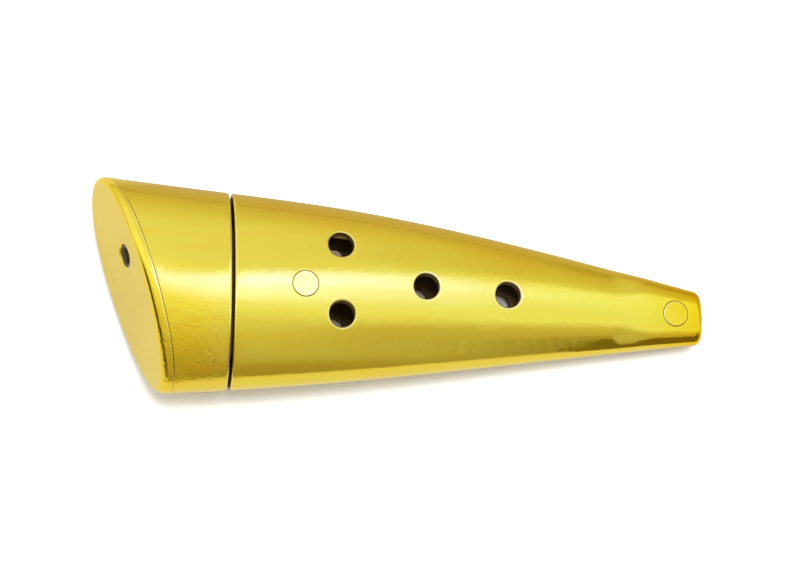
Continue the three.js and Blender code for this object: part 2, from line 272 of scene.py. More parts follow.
def oval_ring(station, oval, inset=0.0):
    """Points round a straight oval barrel, an ellipse of the given centre and half sizes."""
    centre, half, thick = oval
    return np.stack([
        np.full(COLUMNS, float(station)),
        centre + (half - inset) * np.cos(ANGLES),
        (thick - inset) * np.sin(ANGLES)], axis=-1)


def round_ring(centre, radius, lean=0.0):
    """A circle about the leader's line, square to X or laid on a plane parallel to the face."""
    y = radius * np.cos(ANGLES)
    z = radius * np.sin(ANGLES)
    x = lean * (FACE_LEAN[0] * y + FACE_LEAN[1] * z)
    return np.asarray(centre) + np.stack([x, y, z], axis=-1)


def between(ring_a, ring_b, shares):
    """Rings part of the way from one ring to another, point by point."""
    return [(1 - s) * ring_a + s * ring_b for s in shares]


def face_station(depth):
    """Station of a plane parallel to the face, the given depth behind it."""
    return -HEAD_LENGTH + depth * np.sqrt(1 + FACE_LEAN[0]**2 + FACE_LEAN[1]**2)


def nose_hole():
    """Where the leader's line meets the face."""
    y, z = NOSE_HOLE
    return np.array([-HEAD_LENGTH + FACE_LEAN[0] * y + FACE_LEAN[1] * z, y, z])


def leader_at(x):
    """Point of the leader's straight line through the head, over x."""
    start = nose_hole()
    run = x - start[0]
    return start + run * np.array([1.0, *LEADER_SLOPE])


def socket_oval():
    """The straight oval socket: as large as the narrow end of the collar allows."""
    centre, half, thick, _ = section(COLLAR[1])
    inset = wall_at(COLLAR[1]) + ASSEMBLY_GAP + COLLAR_WALL
    return float(centre), float(half - inset), float(thick - inset)


# ---- Skins ----
class Skin:
    """Rings of equal length stacked into a closed skin. Blocks of cells can be swapped for new rings."""

    def __init__(self, rings, finish=0, loop=True):
        self.points = [np.concatenate(rings)]
        self.index = np.arange(len(rings) * COLUMNS).reshape(len(rings), COLUMNS)
        self.count = self.index.size
        self.loop = loop
        self.kept = np.ones_like(self.index, bool)
        self.finish = np.full(len(rings), finish)
        self.faces, self.finishes, self.fans = [], [], []

    def add(self, points):
        """Adds loose points and gives their numbers."""
        self.points.append(points)
        self.count += len(points)
        return np.arange(self.count - len(points), self.count)

    def band(self, first, second, finish):
        """Ties two closed loops of numbers with a band of quads."""
        self.faces.append(np.stack([first, np.roll(first, -1), np.roll(second, -1), second], axis=1))
        self.finishes.append(np.full(len(first), finish))

    def block(self, rows, columns):
        """Takes a block of cells out and gives the loop of numbers round it."""
        cells = np.minimum(rows[:-1], rows[1:])
        self.kept[np.ix_(cells, columns[:-1])] = False
        grid = self.index[np.ix_(rows, columns)]
        return np.concatenate([grid[0, :-1], grid[:-1, -1], grid[-1, :0:-1], grid[:0:-1, 0]])

    def fan(self, loop, point, finish, flip=False):
        """Closes a loop with triangles to one point."""
        centre = self.add(np.asarray(point)[None])[0]
        after = np.roll(loop, -1)
        middle = np.full_like(loop, centre)
        corners = [middle, after, loop] if flip else [middle, loop, after]
        self.fans.append((np.stack(corners, axis=1), finish))

    def build(self, name, body, materials):
        """Makes the object, puts it in the row frame and ties it to its body and finish."""
        after = np.roll(self.index, -1, axis=1)
        below = np.roll(self.index, -1, axis=0)
        quads = np.stack([self.index, after, np.roll(after, -1, axis=0), below], axis=-1)
        keep = self.kept.copy()
        if not self.loop:
            keep[-1] = False
        faces = [quads[keep]] + self.faces
        finishes = [np.broadcast_to(self.finish[:, None], keep.shape)[keep]] + self.finishes
        polygons = np.concatenate(faces).tolist()
        indices = np.concatenate(finishes).tolist()
        for triangles, finish in self.fans:
            polygons += triangles.tolist()
            indices += [finish] * len(triangles)
        mesh = bpy.data.meshes.new(name)
        mesh.from_pydata(to_row(np.concatenate(self.points)), [], polygons)
        for material in materials:
            mesh.materials.append(material)
        mesh.polygons.foreach_set("material_index", np.array(indices, dtype=np.int32))
        mesh.shade_smooth()
        mesh.update()
        if mesh.validate():
            raise RuntimeError(f"{name} had faces that are not valid")
        piece = bpy.data.objects.new(name, mesh)
        bpy.context.scene.collection.objects.link(piece)
        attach(piece, body)
        return piece


# ---- Materials ----
def new_group(name, inputs, outputs):
    """An empty shader node group, the sockets that it is given and the sockets that it fills."""
    group = bpy.data.node_groups.new(name, "ShaderNodeTree")
    for label, default in inputs:
        group.interface.new_socket(
            label, in_out="INPUT", socket_type="NodeSocketFloat").default_value = default
    for label in outputs:
        group.interface.new_socket(label, in_out="OUTPUT", socket_type="NodeSocketFloat")
    return group, group.nodes.new("NodeGroupInput").outputs, group.nodes.new("NodeGroupOutput").inputs


def node(tree, kind, inputs=(), **settings):
    """Adds a node. Inputs pairs each socket with its value or with the socket that feeds it."""
    made = tree.nodes.new(kind)
    for key, value in settings.items():
        setattr(made, key, value)
    for socket, value in inputs:
        if isinstance(value, bpy.types.NodeSocket):
            tree.links.new(value, made.inputs[socket])
        else:
            made.inputs[socket].default_value = value
    return made


def calc(tree, operation, *inputs, **settings):
    """Result of a Math node on numbers or sockets."""
    return node(tree, "ShaderNodeMath", enumerate(inputs), operation=operation, **settings).outputs[0]


def span(tree, value, first=0.0, last=1.0, low=0.0, high=1.0):
    """The value carried from the range first to last into the range low to high, and held at its ends."""
    return node(tree, "ShaderNodeMapRange", enumerate((value, first, last, low, high))).outputs[0]


def noise(tree, place, scale, detail, roughness=0.5, distortion=0.0):
    """Soft noise over a place."""
    return node(tree, "ShaderNodeTexNoise", [
        ("Vector", place), ("Scale", scale), ("Detail", detail),
        ("Roughness", roughness), ("Distortion", distortion)]).outputs[0]


def mix(tree, share, first, second, blend_type="MIX"):
    """Colour between two colours or sockets, by a share."""
    colours = [c if isinstance(c, bpy.types.NodeSocket) else (*c, 1) for c in (first, second)]
    return node(
        tree, "ShaderNodeMix", [(0, share), (6, colours[0]), (7, colours[1])],
        data_type="RGBA", blend_type=blend_type).outputs[2]


def object_place(tree):
    """Place on the resting lure, in metres."""
    return node(tree, "ShaderNodeTexCoord").outputs["Object"]


def split(tree, vector):
    """The X, Y and Z of a vector, by name."""
    return node(tree, "ShaderNodeSeparateXYZ", [(0, vector)]).outputs


def ripple_group():
    """Three noises: slow swells and fine orange peel of a lacquered moulding, and faint streaks along it."""
    group, given, result = new_group(
        "lacquer_ripple", [("Broad", 90.0), ("Fine", 800.0), ("Fine share", 0.45), ("Streaks", 700.0)],
        ["Height", "Tone"])
    place = object_place(group)
    broad = noise(group, place, given["Broad"], 1.0)
    fine = noise(group, place, given["Fine"], 2.0)
    height = calc(group, "ADD", broad, calc(group, "MULTIPLY", fine, given["Fine share"]))
    drawn = node(group, "ShaderNodeMapping", [("Vector", place), ("Scale", (STREAK_STRETCH, 1.0, 1.0))])
    streaks = noise(group, drawn.outputs[0], given["Streaks"], 3.0, 0.6)
    group.links.new(calc(group, "MULTIPLY_ADD", streaks, STREAK_DEPTH, height), result["Height"])
    group.links.new(calc(group, "MULTIPLY", calc(group, "MULTIPLY", broad, streaks), 2.0), result["Tone"])
    return group


def scuff_group():
    """Fine handling marks: noise drawn out along one direction and cut to thin lines, in scattered patches
    and in one worn place, where curled marks join them."""
    group, given, result = new_group(
        "handling_scuffs", [("Scale", 260.0), ("Amount", 0.5)], ["Mask", "Worn", "Relief"])
    place = object_place(group)
    drawn = node(group, "ShaderNodeMapping", [
        ("Vector", place), ("Scale", (SCUFF_STRETCH, 1.0, 1.0)), ("Rotation", SCUFF_TURN)])
    thin = span(group, noise(group, drawn.outputs[0], given["Scale"], 4.0, 0.7), *SCUFF_LINE_LEVELS)
    where = span(group, noise(group, place, SCUFF_PATCH_SCALE, 2.0), *SCUFF_PATCH_LEVELS)
    both = calc(group, "MULTIPLY", thin, where)
    reach = node(group, "ShaderNodeVectorMath", [(0, place), (1, WORN_PATCH)], operation="DISTANCE")
    near = span(group, reach.outputs["Value"], *WORN_REACH)
    curled = span(group, noise(group, place, CURL_SCALE, 3.0, 0.65, CURL_TWIST), *CURL_LEVELS)
    worn = calc(group, "MULTIPLY", near, curled)
    marks = calc(group, "MAXIMUM", both, worn)
    group.links.new(calc(group, "MULTIPLY", marks, given["Amount"], use_clamp=True), result["Mask"])
    group.links.new(worn, result["Worn"])
    group.links.new(calc(group, "MULTIPLY", worn, WORN_DEPTH), result["Relief"])
    return group


def grain_group():
    """Matt grain of bare moulded plastic or rubber: a fine noise for height and a broad one for tone."""
    group, given, result = new_group("moulded_grain", [("Scale", 2500.0)], ["Height", "Tone"])
    place = object_place(group)
    group.links.new(noise(group, place, given["Scale"], 3.0), result["Height"])
    group.links.new(noise(group, place, BLOTCH_SCALE, 2.0), result["Tone"])
    return group


def grouped(tree, name, maker, **values):
    """Places a shared node group in a material with its own input values, and makes it the first time."""
    placed = tree.nodes.new("ShaderNodeGroup")
    placed.node_tree = bpy.data.node_groups.get(name) or maker()
    for label, value in values.items():
        placed.inputs[label].default_value = value
    return placed.outputs


def new_material(name):
    """A node material, its tree and the sockets of its Principled shader."""
    material = bpy.data.materials.new(name)
    material.use_nodes = True
    return material, material.node_tree, material.node_tree.nodes["Principled BSDF"].inputs


def plating(name, light, deep, smooth, rough, bump, scuffs, uneven=0.6):
    """Metallised plastic under clear lacquer: slow ripples and a warmer tone with less lacquer towards the
    tail, with faint scuffs that dull it."""
    material, tree, shader = new_material(name)
    ripple = grouped(tree, "lacquer_ripple", ripple_group)
    marks = grouped(tree, "handling_scuffs", scuff_group, Amount=scuffs)
    head_share = span(tree, split(tree, object_place(tree))["X"], *TAIL_TINT, 1.0, 0.0)
    even = calc(tree, "MULTIPLY", head_share, span(tree, ripple["Tone"], *TONE_LEVELS, uneven, 1.0))
    tone = calc(tree, "SUBTRACT", even, marks["Worn"], use_clamp=True)
    relief = calc(tree, "SUBTRACT", ripple["Height"], marks["Relief"])
    bumped = node(tree, "ShaderNodeBump", [("Height", relief), ("Strength", 1.0), ("Distance", bump)])
    tree.links.new(span(tree, head_share, low=TAIL_LACQUER), shader["Coat Weight"])
    tree.links.new(mix(tree, tone, deep, light), shader["Base Color"])
    tree.links.new(span(tree, marks["Mask"], low=smooth, high=rough), shader["Roughness"])
    tree.links.new(bumped.outputs[0], shader["Normal"])
    shader["Metallic"].default_value = 1.0
    shader["Coat Roughness"].default_value = 0.04
    return material


def plastic(name, colour, roughness, bump, scale):
    """Bare moulded plastic or rubber with a fine grain and slightly uneven tone."""
    material, tree, shader = new_material(name)
    grain = grouped(tree, "moulded_grain", grain_group, Scale=scale)
    dark, pale = ([share * c for c in colour] for share in PLASTIC_TONES)
    rough = span(tree, grain["Tone"], low=roughness - PLASTIC_UNEVEN, high=roughness + PLASTIC_UNEVEN)
    bumped = node(
        tree, "ShaderNodeBump", [("Height", grain["Height"]), ("Strength", 0.6), ("Distance", bump)])
    tree.links.new(mix(tree, grain["Tone"], dark, pale), shader["Base Color"])
    tree.links.new(rough, shader["Roughness"])
    tree.links.new(bumped.outputs[0], shader["Normal"])
    shader["Specular IOR Level"].default_value = 0.12
    return material


def finishes():
    """The lure's materials by name, made the first time they are asked for."""
    colours = bpy.context.scene.lure_colours
    makers = {
        "gold_plating": (plating, dict(
            light=colours.gold, deep=colours.deep_gold, smooth=0.1, rough=0.36, bump=0.036 * MM, scuffs=0.8)),
        "pale_gold_plating": (plating, dict(
            light=colours.pale_gold, deep=colours.gold, smooth=0.18, rough=0.5, bump=0.05 * MM, scuffs=1.0,
            uneven=0.55)),
        # Edge plating: a painted highlight on narrow roundings, together with wear
        "polished_edge": (plating, dict(
            light=colours.worn_edge_highlight, deep=colours.pale_gold, smooth=0.16, rough=0.3, bump=0.01 * MM,
            scuffs=0.6)),
        "dark_plastic": (plastic, dict(colour=colours.moulded, roughness=0.38, bump=0.01 * MM, scale=2500.0)),
        "smoke_plastic": (plastic, dict(colour=colours.smoke, roughness=0.25, bump=0.01 * MM, scale=1800.0)),
        "seal_rubber": (plastic, dict(colour=colours.rubber, roughness=0.6, bump=0.02 * MM, scale=3000.0)),
    }
    return {
        slot: bpy.data.materials.get(f"{slot}_finish") or maker(f"{slot}_finish", **values)
        for slot, (maker, values) in makers.items()}


# ---- Pieces ----
def drill(skin, stations, outer_rows, inner_rows, place, side, radius, lip, lip_finish):
    """Cuts a round hole through one flank of a shell. A block of cells round the hole is swapped for rings
    that pass from the block's edge to a circle, over a rounded lip, down the wall and out to the same block
    of the inner skin."""
    reach = radius + lip + BLOCK_MARGIN
    along = np.flatnonzero(np.abs(stations - place[0]) <= reach)
    ring = body_ring(place[0])
    across = np.flatnonzero((np.abs(ring[:, 1] - place[1]) <= reach) & (ring[:, 2] * side > 0))
    outer, inner = skin.block(outer_rows[along], across), skin.block(inner_rows[along], across)
    grid = skin.points[0]
    middle = np.array(place)
    edge, inner_edge = grid[outer][:, :2] - middle, grid[inner][:, :2] - middle
    heading = edge / np.linalg.norm(edge, axis=1, keepdims=True)

    def loop(spread, inset, depth=0.0):
        at = middle + spread
        z = flank_height(at[:, 0], at[:, 1], inset) - depth
        return skin.add(np.column_stack([at, side * z]))

    wide = heading * (radius + lip + SUPPORT)
    wall = wall_at(place[0])
    loops = [loop((1 - s) * edge + s * wide, 0.0) for s in (0.3, 0.65, 1.0)]
    flat_count = len(loops)
    loops += [
        loop(heading * (radius + lip * (1 - np.sin(a))), 0.0, lip * (1 - np.cos(a))) for a in QUARTER]
    gold_count = len(loops)
    loops += [loop(heading * radius, 0.0, lip + d) for d in (SUPPORT, 0.3 * MM)]
    loops += [loop(heading * radius, wall, d) for d in (-SUPPORT, 0.0)]
    loops += [loop((1 - s) * heading * (radius + SUPPORT) + s * inner_edge, wall) for s in (0.0, 0.35, 0.7)]
    previous = outer
    for number, current in enumerate([*loops, inner]):
        skin.band(previous, current, 0 if number < flat_count else lip_finish if number < gold_count else 1)
        previous = current


def edge_rings(station, radius, opening):
    """Quarter turn of rings over an outer edge: opening is 1 where the body starts and -1 where it ends."""
    turns = QUARTER if opening > 0 else QUARTER[::-1]
    return [
        body_ring(station + opening * radius * (1 - np.cos(a)), radius * (1 - np.sin(a))) for a in turns]


class LURE_OT_rear_shell(Operator):
    """Tapering plated shell with its rounded mouth and tail, scent holes and pin holes"""
    bl_idname = "lure.rear_shell"
    bl_label = "Rear shell"

    def execute(self, context):
        sizes = context.scene.lure_sizes
        look = finishes()
        front = sizes.seam_gap / 2
        stations = np.linspace(front + sizes.seam_edge, REAR_LENGTH - TAIL_EDGE_RADIUS, STATIONS)
        hollow_end = REAR_LENGTH - END_WALL
        inner_stations = np.linspace(front + 0.2 * MM, hollow_end, STATIONS)
        tail_centre = np.array([0.0, float(section(hollow_end)[0]), 0.0])
        hole = SPOUT_RADIUS + GLUE_LINE
        start = [body_ring(front, SHELL_WALL - 0.2 * MM), body_ring(front, sizes.seam_edge + SUPPORT)]
        start += edge_rings(front, sizes.seam_edge, 1)
        tail_edge = [
            body_ring(REAR_LENGTH - TAIL_EDGE_RADIUS * (1 - np.sin(a)), TAIL_EDGE_RADIUS * (1 - np.cos(a)))
            for a in QUARTER]
        end_face = body_ring(REAR_LENGTH, TAIL_EDGE_RADIUS + 0.0001 * MM)
        at_end = np.array([REAR_LENGTH, 0.0, 0.0]) + tail_centre
        wide_hole = round_ring(at_end, hole + 0.15 * MM)
        mouth = [*between(end_face, wide_hole, (0.1, 0.5, 1.0)), round_ring(at_end - (0.15 * MM, 0, 0), hole)]
        mouth += [round_ring((hollow_end, *tail_centre[1:]), hole)]
        inner = [body_ring(x, wall_at(x)) for x in inner_stations[::-1]]
        middle = [body_ring(x) for x in stations]
        rings = [*start[:-1], *middle, *tail_edge[1:], *mouth, *inner]
        skin = Skin(rings)
        first = len(start) - 1
        outer_rows = first + np.arange(STATIONS)
        inner_first = len(rings) - STATIONS
        inner_rows = inner_first + np.arange(STATIONS)[::-1]
        skin.finish[inner_first - 2:] = 1
        skin.finish[0] = 1
        # The seam's rounded edge takes the edge plating, a painted highlight with wear
        skin.finish[1:first] = 2
        for side in (1, -1):
            for place in SCENT_HOLES:
                # The scent holes' lips take the edge plating, a painted highlight with wear
                drill(
                    skin, stations, outer_rows, inner_rows, place, side,
                    SCENT_HOLE_RADIUS, sizes.hole_lip, 2)
            for place in (COLLAR_PIN, TAIL_PIN):
                drill(
                    skin, stations, outer_rows, inner_rows, place, side,
                    PIN_RADIUS + sizes.pin_groove, sizes.pin_edge, 0)
        piece = skin.build(
            "rear_shell_plated", "rear",
            [look["gold_plating"], look["dark_plastic"], look["polished_edge"]])
        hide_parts("rear_shell")
        return {"FINISHED"}


class LURE_OT_head(Operator):
    """Plated head shell, its face cap with the leader hole, the eyelet and the leader tube"""
    bl_idname = "lure.head"
    bl_label = "Head"

    def execute(self, context):
        sizes = context.scene.lure_sizes
        look = finishes()
        self.head_shell(sizes, look)
        self.face_cap(sizes, look)
        self.eyelet(look)
        self.leader_tube(look)
        return {"FINISHED"}

    def cap_edge(self, sizes):
        """Depth of the cap that shows in front of the parting line."""
        return sizes.rim_radius + CAP_MARGIN

    def head_shell(self, sizes, look):
        """A sleeve of body rings whose lean falls from the slanted face to the square joint."""
        rear = -sizes.seam_gap / 2
        parting = self.cap_edge(sizes) + sizes.parting_gap
        edge = FINE_EDGE
        front_edge = [
            body_ring(face_station(parting + edge * (1 - np.cos(a))), edge * (1 - np.sin(a)), 1)
            for a in QUARTER[::2]]
        start = face_station(parting + edge)
        shares = np.linspace(0, 1, 60)
        reach = rear - sizes.seam_edge - start
        sleeve = [body_ring(start + s * reach, 0, 1 - s) for s in shares[1:]]
        rear_edge = edge_rings(rear, sizes.seam_edge, -1)[1:]
        inner = [body_ring(start + s * (rear - start), SHELL_WALL, 1 - s) for s in shares[::-4]]
        rings = [
            body_ring(face_station(parting), edge + SUPPORT, 1), *front_edge, *sleeve, *rear_edge,
            body_ring(rear, sizes.seam_edge + SUPPORT), *inner,
            body_ring(face_station(parting), SHELL_WALL, 1)]
        skin = Skin(rings)
        bare_from = len(rings) - len(inner) - 2
        skin.finish[bare_from:] = 1
        # The rear edge takes the edge plating, a painted highlight with wear
        skin.finish[bare_from - len(rear_edge) - 1:bare_from] = 2
        piece = skin.build(
            "head_shell_plated", "head",
            [look["gold_plating"], look["dark_plastic"], look["polished_edge"]])
        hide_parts("head_shell")

    def face_cap(self, sizes, look):
        """A flat slanted face from the eyelet's hole outwards, a rounded rim, a fine back edge and a lip."""
        rim, edge = sizes.rim_radius, FINE_EDGE
        shown = self.cap_edge(sizes)
        hole = EYELET_RADIUS + 0.05 * MM
        lip_inset = SHELL_WALL + GLUE_LINE
        back = face_station(shown + CAP_LIP)
        front_hole = round_ring(nose_hole(), hole + 0.06 * MM, 1)
        flat_edge = body_ring(face_station(0), rim + SUPPORT, 1)
        flat = [
            round_ring(leader_at(nose_hole()[0] + 0.08 * MM), hole, 1),
            *between(front_hole, flat_edge, np.linspace(0, 1, 24))]
        rounded = [
            body_ring(face_station(rim * (1 - np.cos(a))), rim * (1 - np.sin(a)), 1)
            for a in np.linspace(0, np.pi / 2, 13)]
        back_edge = [
            body_ring(face_station(shown - edge * (1 - np.sin(a))), edge * (1 - np.cos(a)), 1)
            for a in QUARTER[::2]]
        lip = [body_ring(face_station(shown), lip_inset, 1), body_ring(back, lip_inset, 1)]
        back_hole = round_ring(leader_at(nose_hole()[0] + (back + HEAD_LENGTH)), hole, 1)
        skin = Skin([*flat, *rounded, *back_edge, *lip, *between(lip[-1], back_hole, (0.3, 0.7, 1.0))])
        rim_end = len(flat) + len(rounded) - 1
        skin.finish[len(flat) - 1:] = 1
        # The back edge takes the edge plating, a painted highlight with wear
        skin.finish[rim_end:rim_end + len(back_edge) + 1] = 2
        piece = skin.build(
            "face_cap_plated", "head",
            [look["pale_gold_plating"], look["gold_plating"], look["polished_edge"]])
        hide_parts("face_cap")

    def eyelet(self, look):
        """A ring about the leader's line, whose mouth and outer edge are quarter turns."""
        start = nose_hole()[0]
        front, rear = start + 0.1 * MM, leader_at(start + EYELET_LENGTH)
        radius, bore, lip, edge = EYELET_RADIUS, 1.0 * MM, 0.17 * MM, 0.1 * MM
        rings = [
            round_ring(leader_at(front + lip * (1 - np.cos(a))), bore + lip * (1 - np.sin(a)), 1)
            for a in QUARTER[::-1]]
        rings += [
            round_ring(leader_at(front + edge * (1 - np.cos(a))), radius - edge * (1 - np.sin(a)), 1)
            for a in QUARTER]
        rings += [round_ring(rear, radius), round_ring(rear, bore)]
        piece = Skin(rings).build("nose_eyelet_ring", "head", [look["smoke_plastic"]])
        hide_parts("nose_eyelet")

    def leader_tube(self, look):
        """A round tube about the leader's line, with its end edges cut back."""
        front = nose_hole()[0] + EYELET_LENGTH + 0.1 * MM
        rear = BULKHEAD[0] + TUBE_SEAT - 0.1 * MM
        lip = 0.12 * MM
        along = np.linspace(front + lip, rear - lip, 9)
        rings = [round_ring(leader_at(front), radius) for radius in (TUBE_BORE + lip, TUBE_RADIUS - lip)]
        rings += [round_ring(leader_at(x), TUBE_RADIUS) for x in along]
        rings += [round_ring(leader_at(rear), radius) for radius in (TUBE_RADIUS - lip, TUBE_BORE + lip)]
        rings += [round_ring(leader_at(x), TUBE_BORE) for x in along[::-1]]
        piece = Skin(rings).build("leader_tube_moulded", "head", [look["dark_plastic"]])
        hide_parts("leader_tube")


class LURE_OT_coupling(Operator):
    """Spigot with its bulkhead, the seal ring in its groove, and the collar that it plugs into"""
    bl_idname = "lure.coupling"
    bl_label = "Coupling"

    def execute(self, context):
        look = finishes()
        oval = socket_oval()
        self.spigot(oval, look)
        self.seal(oval, look)
        self.collar(oval, look)
        return {"FINISHED"}

    def spigot(self, oval, look):
        """A bulkhead that follows the body, a straight oval barrel with a groove, a rounded lead, a bore."""
        front, rear = BULKHEAD
        seat = TUBE_RADIUS + GLUE_LINE
        edge = 0.3 * MM
        groove = (SEAL_STATION - GROOVE_LENGTH / 2, SEAL_STATION + GROOVE_LENGTH / 2)
        floor = SLIDING_GAP + SLIDING_GAP - SEAL_GAP + SEAL_CORD
        soft = FINE_EDGE
        outside = [body_ring(front, glued_inset(front) + edge), body_ring(front + edge, glued_inset(front))]
        outside += [body_ring(x, glued_inset(x)) for x in np.linspace(front + 2 * edge, rear - edge, 5)]
        outside += [body_ring(rear, glued_inset(rear) + edge)]
        barrel = [oval_ring(rear, oval, SLIDING_GAP - edge), oval_ring(rear + edge, oval, SLIDING_GAP)]
        ends = ((rear + 2 * edge, groove[0] - soft), (groove[1] + soft, SPIGOT_LENGTH - SPIGOT_LEAD))
        for low, high in ends:
            barrel += [oval_ring(x, oval, SLIDING_GAP) for x in np.linspace(low, high, 4)]
            if high < SEAL_STATION:
                barrel += [
                    oval_ring(groove[0], oval, SLIDING_GAP + soft), oval_ring(groove[0], oval, floor),
                    oval_ring(groove[1], oval, floor), oval_ring(groove[1], oval, SLIDING_GAP + soft)]
        lead = [
            oval_ring(
                SPIGOT_LENGTH - SPIGOT_LEAD * (1 - np.sin(a)), oval,
                SLIDING_GAP + SPIGOT_LEAD * (1 - np.cos(a)))
            for a in QUARTER[1:]]
        end = round_ring(leader_at(SPIGOT_LENGTH), SPIGOT_BORE + 0.15 * MM)
        lead += between(lead[-1], end, (0.05, 0.5, 1.0))
        bore = [
            round_ring(leader_at(x), SPIGOT_BORE) for x in (SPIGOT_LENGTH - 0.15 * MM, front + TUBE_SEAT)]
        bore += [round_ring(leader_at(x), seat) for x in (front + TUBE_SEAT, front)]
        bore += between(bore[-1], outside[0], (0.5,))
        piece = Skin([*outside, *barrel, *lead, *bore]).build(
            "coupling_spigot_moulded", "head", [look["dark_plastic"]])
        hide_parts("coupling_spigot")

    def seal(self, oval, look):
        """A round cord bent along the oval: its section is a circle of half the cord's thickness."""
        radius = SEAL_CORD / 2
        inset = SEAL_GAP + radius
        rings = [
            oval_ring(SEAL_STATION - radius * np.sin(a), oval, inset + radius * np.cos(a))
            for a in np.linspace(0, 2 * np.pi, 20, endpoint=False)]
        piece = Skin(rings).build("seal_ring_rubber", "head", [look["seal_rubber"]])
        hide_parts("seal_ring")

    def collar(self, oval, look):
        """A ring that follows the body outside and the straight oval socket inside."""
        front, rear = COLLAR
        edge = 0.3 * MM
        outside = [body_ring(front, glued_inset(front) + edge)]
        outside += [body_ring(x, glued_inset(x)) for x in np.linspace(front + edge, rear - edge, 12)]
        outside += [body_ring(rear, glued_inset(rear) + edge), oval_ring(rear, oval, -edge)]
        inside = [oval_ring(x, oval) for x in np.linspace(rear - edge, front + 2 * edge, 12)]
        inside += [oval_ring(front, oval, -2 * edge)]
        piece = Skin([*outside, *inside]).build(
            "mouth_collar_moulded", "rear", [look["dark_plastic"]])
        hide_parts("mouth_collar")


class LURE_OT_pins(Operator):
    """Flush round pins on both flanks that hold the collar and the tail insert"""
    bl_idname = "lure.pins"
    bl_label = "Pins"

    def execute(self, context):
        edge = context.scene.lure_sizes.pin_edge
        look = finishes()
        # The pins' rounded edges take the edge plating, a painted highlight with wear
        plated = [look["gold_plating"], look["polished_edge"]]
        for pin, place in (("collar_pin", COLLAR_PIN), ("tail_pin", TAIL_PIN)):
            for flank, side in (("upper", 1), ("lower", -1)):
                self.pin(f"{pin}_{flank}", place, side, PIN_DEPTH[pin], edge, plated)
        return {"FINISHED"}

    def pin(self, name, place, side, depth, edge, plated):
        """A flat disc on the plane that touches the flank at its centre, with a rounded edge and a shank."""
        step = 0.2 * MM
        x, y = place
        height = flank_height(x, y)
        slope_x = (flank_height(x + step, y) - flank_height(x - step, y)) / (2 * step)
        slope_y = (flank_height(x, y + step) - flank_height(x, y - step)) / (2 * step)

        def ring(radius, drop):
            dx, dy = radius * np.cos(ANGLES * side), radius * np.sin(ANGLES * side)
            z = height + slope_x * dx + slope_y * dy - drop
            return np.column_stack([x + dx, y + dy, side * z])

        sunk = 0.012 * MM
        top = [(r * PIN_RADIUS, sunk) for r in (0.05, 0.35, 0.65)] + [(PIN_RADIUS - edge - SUPPORT, sunk)]
        rounded = [(PIN_RADIUS - edge * (1 - np.sin(a)), sunk + edge * (1 - np.cos(a))) for a in QUARTER]
        shank = [(PIN_RADIUS, depth), (PIN_RADIUS - edge, depth), (0.05 * PIN_RADIUS, depth)]
        skin = Skin([ring(*p) for p in (*top, *rounded, *shank)][::-1], loop=False)
        skin.finish[len(shank):len(shank) + len(rounded)] = 1
        skin.fan(skin.index[-1], (x, y, side * (height - sunk)), 0)
        skin.fan(skin.index[0], (x, y, side * (height - depth)), 0, flip=True)
        piece = skin.build(f"{name}_plated", "rear", plated)
        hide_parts(name)


class LURE_OT_tail_insert(Operator):
    """Dark plug in the narrow tail, with the leader's bore and spout"""
    bl_idname = "lure.tail_insert"
    bl_label = "Tail insert"

    def execute(self, context):
        dark = finishes()["dark_plastic"]
        hollow_end = REAR_LENGTH - END_WALL - INSERT_GAP
        tip = REAR_LENGTH - SPOUT_RECESS
        y = float(section(REAR_LENGTH - END_WALL)[0])
        edge, gap = 0.15 * MM, 0.12 * MM
        outside = [body_ring(INSERT_FRONT, glued_inset(INSERT_FRONT, gap) + edge)]
        outside += [
            body_ring(x, glued_inset(x, gap)) for x in np.linspace(INSERT_FRONT + edge, hollow_end, 24)]
        spout = [round_ring((hollow_end, y, 0), SPOUT_RADIUS)]
        spout += [
            round_ring((tip - edge * (1 - np.sin(a)), y, 0), SPOUT_RADIUS - edge * (1 - np.cos(a)))
            for a in QUARTER]
        bore = [
            round_ring((tip, y, 0), TAIL_BORE + edge), round_ring((tip - edge, y, 0), TAIL_BORE),
            round_ring((INSERT_FRONT + edge, y, 0), TAIL_BORE),
            round_ring((INSERT_FRONT, y, 0), TAIL_BORE + edge)]
        bore += between(bore[-1], outside[0], (0.5,))
        piece = Skin([*outside, *between(outside[-1], spout[0], (0.5,)), *spout, *bore]).build(
            "tail_insert_moulded", "rear", [dark])
        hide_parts("tail_insert")
        return {"FINISHED"}


# ---- Stage ----
CAMERA_PLACE = (-30.9 * MM, -72.0 * MM, 338.5 * MM)
CAMERA_RIGHT = (0.9884, -0.0051, 0.1519)
CAMERA_UP = (-0.0269, 0.9778, 0.2078)
CAMERA_LENS = 125.85
CAMERA_SENSOR = 36.0
FLOOR_REACH, FLOOR_GRAIN, FLOOR_SHADE = 3.0, 700.0, 0.01
LAMP_TOWARD, LAMP_DISTANCE, LAMP_SIZE, LAMP_POWER = (0.05, 0.12, 1.0), 1.0, (0.5, 0.4), 12.0
